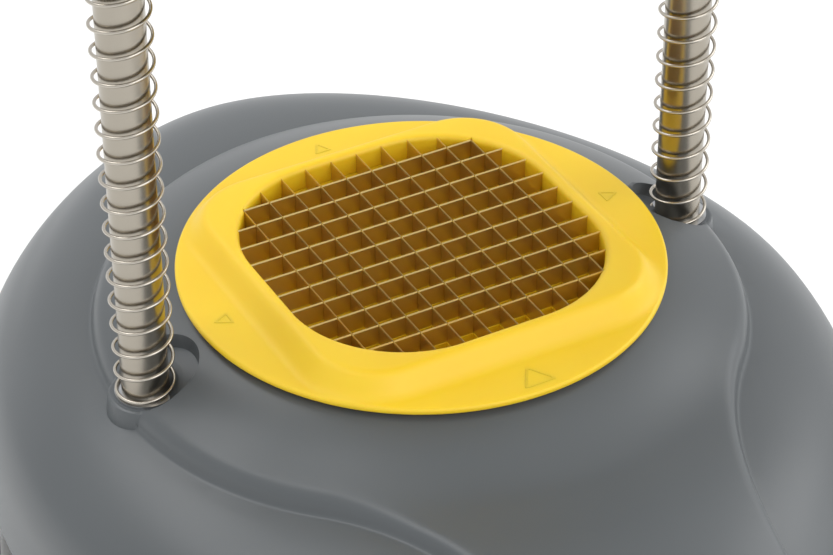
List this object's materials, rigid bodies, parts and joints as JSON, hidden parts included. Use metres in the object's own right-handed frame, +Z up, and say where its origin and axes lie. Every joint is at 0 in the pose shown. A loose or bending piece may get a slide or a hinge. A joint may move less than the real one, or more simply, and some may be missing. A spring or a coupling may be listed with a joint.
{
  "type": "french fry cutter",
  "caption": "Column-guided french fry cutter: grey base on legs, yellow blade ring with a square grid of blades, sprung carriage with side grips and a pusher block.",
  "frame": {"origin": "centre of the footprint on the table, under the middle of the blade grid", "axes": "+X to the right-hand column seen from the tongue side, +Y to the back, +Z up along the columns"},
  "size_m": [0.4466, 0.3774, 0.3913],
  "materials": {
    "base_composite": "fine satin moulded grey",
    "carriage_composite": "fine satin moulded grey",
    "yellow_composite": "satin moulded yellow",
    "blade_steel": "ground flat",
    "column_steel": "polished rod",
    "spring_steel": "bright drawn wire",
    "plate_steel": "brushed",
    "fastener_steel": "satin",
    "rubber": "matt black",
    "grip_rubber": "soft matt dark grey",
    "cap_plastic": "satin dark grey",
    "bush_nylon": "natural nylon"
  },
  "bodies": {
    "base": {"base_shell": "base_composite", "blade_ring": "yellow_composite", "blades_across": "blade_steel", "blades_along": "blade_steel", "blade_bed": "yellow_composite", "blade_retainer": "yellow_composite", "retainer_screws": "fastener_steel", "foot_front_left": "rubber", "foot_front_right": "rubber", "foot_rear_left": "rubber", "foot_rear_right": "rubber", "foot_screws": "fastener_steel", "column_left": "column_steel", "column_right": "column_steel", "column_nuts": "fastener_steel", "column_washers": "fastener_steel", "spring_left": "spring_steel", "spring_right": "spring_steel", "spring_seat_left": "fastener_steel", "spring_seat_right": "fastener_steel", "stop_bumper_left": "rubber", "stop_bumper_right": "rubber", "stop_collar_left": "plate_steel", "stop_collar_right": "plate_steel", "collar_screws": "fastener_steel", "column_cap_left": "cap_plastic", "column_cap_right": "cap_plastic"},
    "carriage": {"carriage_body": "carriage_composite", "carriage_cover": "carriage_composite", "cover_screws": "fastener_steel", "pusher": "yellow_composite", "pusher_holder": "plate_steel", "pusher_screws": "fastener_steel", "lower_bush_left": "bush_nylon", "lower_bush_right": "bush_nylon", "upper_bush_left": "bush_nylon", "upper_bush_right": "bush_nylon", "grip_bar_left": "fastener_steel", "grip_bar_right": "fastener_steel", "grip_left": "grip_rubber", "grip_right": "grip_rubber", "grip_cap_left": "cap_plastic", "grip_cap_right": "cap_plastic", "grip_screws": "fastener_steel", "grip_pins": "fastener_steel", "stop_buffer_left": "rubber", "stop_buffer_right": "rubber", "spring_washer_left": "fastener_steel", "spring_washer_right": "fastener_steel"}
  },
  "joints": [
    {"name": "press_slide", "type": "slide", "parent": "base", "child": "carriage", "axis": [0, 0, 1], "range_m": [-0.15, 0], "stiffness_N_per_m": 152, "springref_m": 0.165, "deforming": ["spring_left", "spring_right"]}
  ]
}
